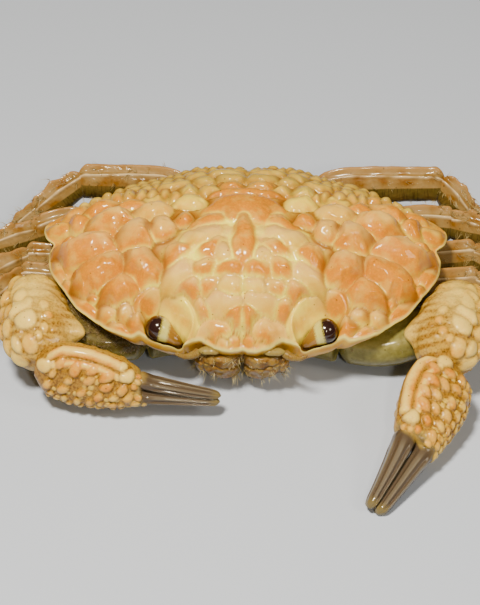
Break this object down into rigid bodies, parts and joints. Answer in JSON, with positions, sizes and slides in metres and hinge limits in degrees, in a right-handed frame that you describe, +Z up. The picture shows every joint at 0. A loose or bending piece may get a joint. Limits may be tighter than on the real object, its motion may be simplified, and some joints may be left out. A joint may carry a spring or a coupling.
{
  "type": "hairy reef crab",
  "caption": "Life-size still model of a broad, lobed reef crab with knobbly claws held in front, crested legs tucked in and sparse hair fringes, resting on its belly.",
  "frame": {"origin": "on the resting plane, on the flat under the folded abdomen, below the centre of the shell", "axes": "+Z up from the resting plane, -Y the way the crab faces, +X to the crab's left"},
  "size_m": [0.0958, 0.0645, 0.0216],
  "materials": {
    "shell": "wet, glossy orange shell with cream grooves and a cream edge",
    "claw_shell": "glossy cream-yellow shell with orange and white knobs",
    "finger": "fluted grey-brown claw finger with a pale olive tip",
    "leg_shell": "olive-brown shell with pink-cream ridges and short hair fringes",
    "belly": "smooth pale yellow-green under-shell",
    "mouth": "amber-brown mouthparts and feelers with bristles",
    "eye": "dark glossy cornea on an amber stalk"
  },
  "bodies": {
    "root": {"carapace": "shell", "sternum": "belly", "abdomen": "belly", "eye_left": "eye", "antenna_left": "mouth", "antennule_left": "mouth", "maxilliped_left": "mouth", "cheliped_left_base": "belly", "cheliped_left_merus": "belly", "cheliped_left_carpus": "claw_shell", "cheliped_left_palm": "claw_shell", "cheliped_left_finger": "finger", "leg2_left_merus": "leg_shell", "leg2_left_carpus": "leg_shell", "leg2_left_propodus": "leg_shell", "leg2_left_dactyl": "leg_shell", "leg3_left_merus": "leg_shell", "leg3_left_carpus": "leg_shell", "leg3_left_propodus": "leg_shell", "leg3_left_dactyl": "leg_shell", "leg4_left_merus": "leg_shell", "leg4_left_carpus": "leg_shell", "leg4_left_propodus": "leg_shell", "leg4_left_dactyl": "leg_shell", "leg5_left_merus": "leg_shell", "leg5_left_carpus": "leg_shell", "leg5_left_propodus": "leg_shell", "leg5_left_dactyl": "leg_shell", "eye_right": "eye", "antenna_right": "mouth", "antennule_right": "mouth", "maxilliped_right": "mouth", "cheliped_right_base": "belly", "cheliped_right_merus": "belly", "cheliped_right_carpus": "claw_shell", "cheliped_right_palm": "claw_shell", "cheliped_right_finger": "finger", "leg2_right_merus": "leg_shell", "leg2_right_carpus": "leg_shell", "leg2_right_propodus": "leg_shell", "leg2_right_dactyl": "leg_shell", "leg3_right_merus": "leg_shell", "leg3_right_carpus": "leg_shell", "leg3_right_propodus": "leg_shell", "leg3_right_dactyl": "leg_shell", "leg4_right_merus": "leg_shell", "leg4_right_carpus": "leg_shell", "leg4_right_propodus": "leg_shell", "leg4_right_dactyl": "leg_shell", "leg5_right_merus": "leg_shell", "leg5_right_carpus": "leg_shell", "leg5_right_propodus": "leg_shell", "leg5_right_dactyl": "leg_shell"}
  },
  "joints": []
}
